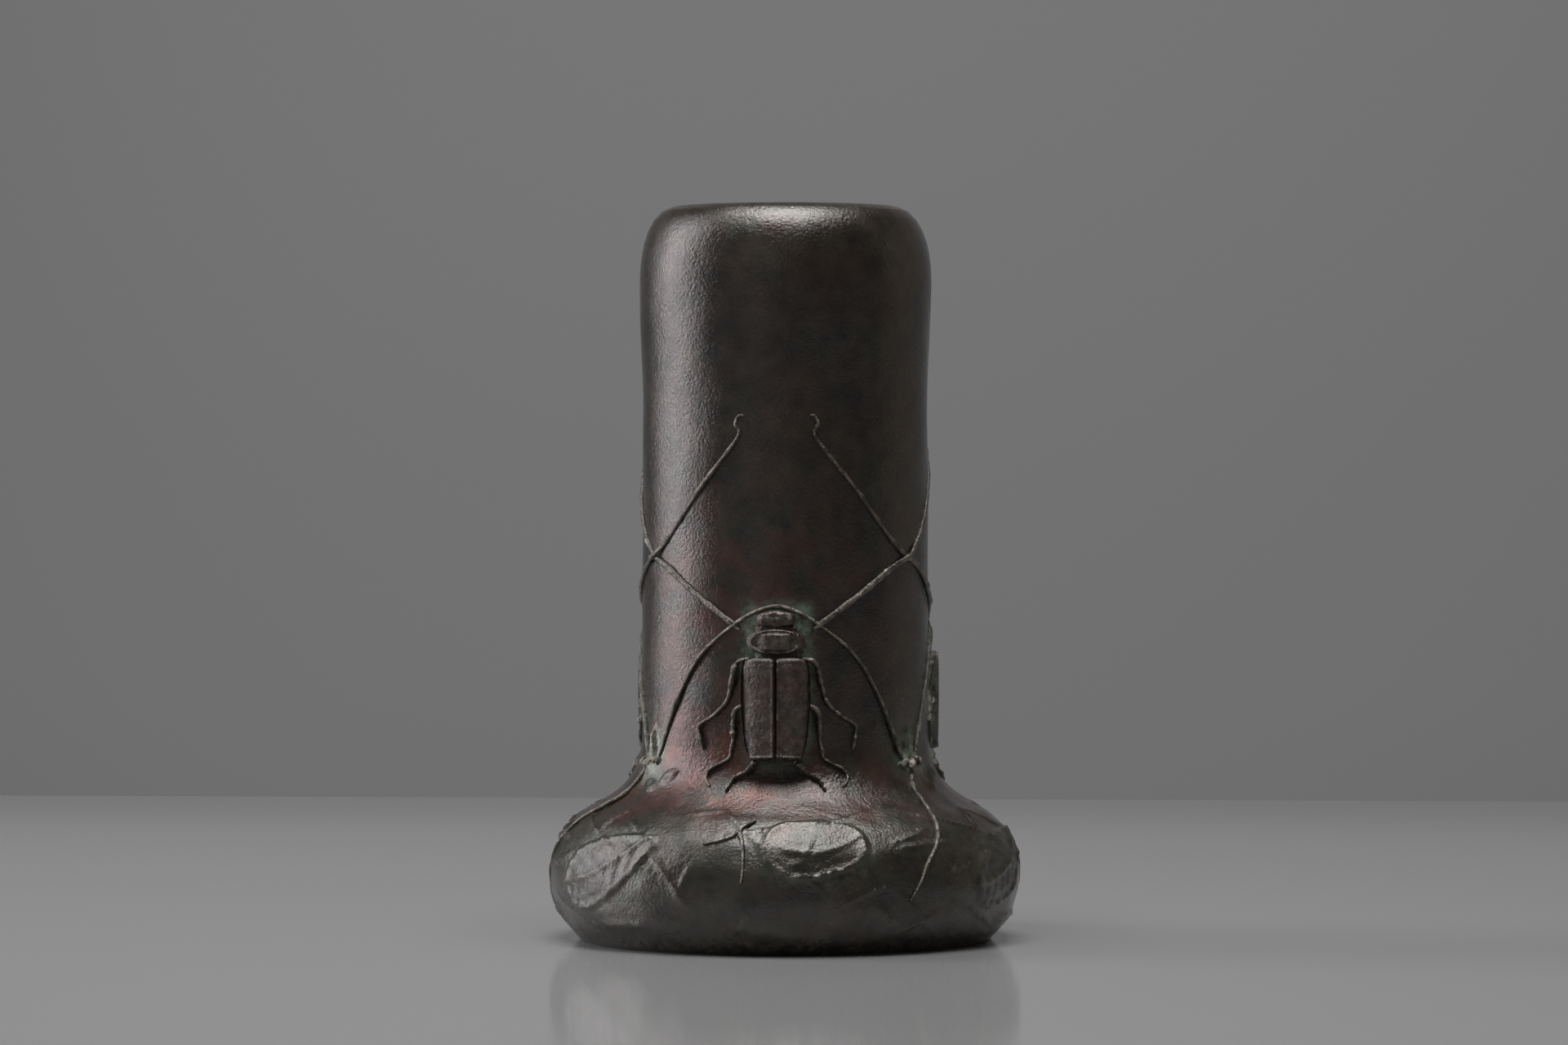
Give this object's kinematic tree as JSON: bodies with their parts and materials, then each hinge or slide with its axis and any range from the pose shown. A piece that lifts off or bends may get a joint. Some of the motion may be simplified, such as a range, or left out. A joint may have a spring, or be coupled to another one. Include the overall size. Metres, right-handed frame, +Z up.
{
  "type": "bronze vase",
  "caption": "Cast bronze vase: a tall tube with an incurved lip on a squat cushion-shaped foot, with beetles, stems and leaves in relief.",
  "frame": {"origin": "centre of the flat ring that the vase stands on", "axes": "+Z up along the vase's axis; the front beetle faces -Y, and +X is to its right"},
  "size_m": [0.1104, 0.1109, 0.17],
  "materials": {
    "wall_bronze": "dark brown patina, waxed",
    "beetle_bronze": "red-brown patina, rubbed on the high edges",
    "foliage_bronze": "dark green-brown patina, verdigris in the hollows",
    "plate_bronze": "dull brown, as cast"
  },
  "bodies": {
    "root": {"arch_stem_front": "foliage_bronze", "arch_stem_left": "foliage_bronze", "arch_stem_right": "foliage_bronze", "base_plate": "plate_bronze", "beetle_front_feeler_left": "beetle_bronze", "beetle_front_feeler_right": "beetle_bronze", "beetle_front_fore_leg_left": "beetle_bronze", "beetle_front_fore_leg_right": "beetle_bronze", "beetle_front_head": "beetle_bronze", "beetle_front_hind_leg_left": "beetle_bronze", "beetle_front_hind_leg_right": "beetle_bronze", "beetle_front_middle_leg_left": "beetle_bronze", "beetle_front_middle_leg_right": "beetle_bronze", "beetle_front_pronotum": "beetle_bronze", "beetle_front_trunk": "beetle_bronze", "beetle_front_wing_case_left": "beetle_bronze", "beetle_front_wing_case_right": "beetle_bronze", "beetle_left_feeler_left": "beetle_bronze", "beetle_left_feeler_right": "beetle_bronze", "beetle_left_fore_leg_left": "beetle_bronze", "beetle_left_fore_leg_right": "beetle_bronze", "beetle_left_head": "beetle_bronze", "beetle_left_hind_leg_left": "beetle_bronze", "beetle_left_hind_leg_right": "beetle_bronze", "beetle_left_middle_leg_left": "beetle_bronze", "beetle_left_middle_leg_right": "beetle_bronze", "beetle_left_pronotum": "beetle_bronze", "beetle_left_trunk": "beetle_bronze", "beetle_left_wing_case_left": "beetle_bronze", "beetle_left_wing_case_right": "beetle_bronze", "beetle_right_feeler_left": "beetle_bronze", "beetle_right_feeler_right": "beetle_bronze", "beetle_right_fore_leg_left": "beetle_bronze", "beetle_right_fore_leg_right": "beetle_bronze", "beetle_right_head": "beetle_bronze", "beetle_right_hind_leg_left": "beetle_bronze", "beetle_right_hind_leg_right": "beetle_bronze", "beetle_right_middle_leg_left": "beetle_bronze", "beetle_right_middle_leg_right": "beetle_bronze", "beetle_right_pronotum": "beetle_bronze", "beetle_right_trunk": "beetle_bronze", "beetle_right_wing_case_left": "beetle_bronze", "beetle_right_wing_case_right": "beetle_bronze", "broad_leaf_front": "foliage_bronze", "broad_leaf_left": "foliage_bronze", "broad_leaf_right": "foliage_bronze", "knot_front": "foliage_bronze", "knot_left": "foliage_bronze", "knot_right": "foliage_bronze", "long_leaf_front": "foliage_bronze", "long_leaf_left": "foliage_bronze", "long_leaf_right": "foliage_bronze", "trailing_stem_front": "foliage_bronze", "trailing_stem_left": "foliage_bronze", "trailing_stem_right": "foliage_bronze", "twig_front": "foliage_bronze", "twig_left": "foliage_bronze", "twig_right": "foliage_bronze", "vase_body": "wall_bronze"}
  },
  "joints": []
}
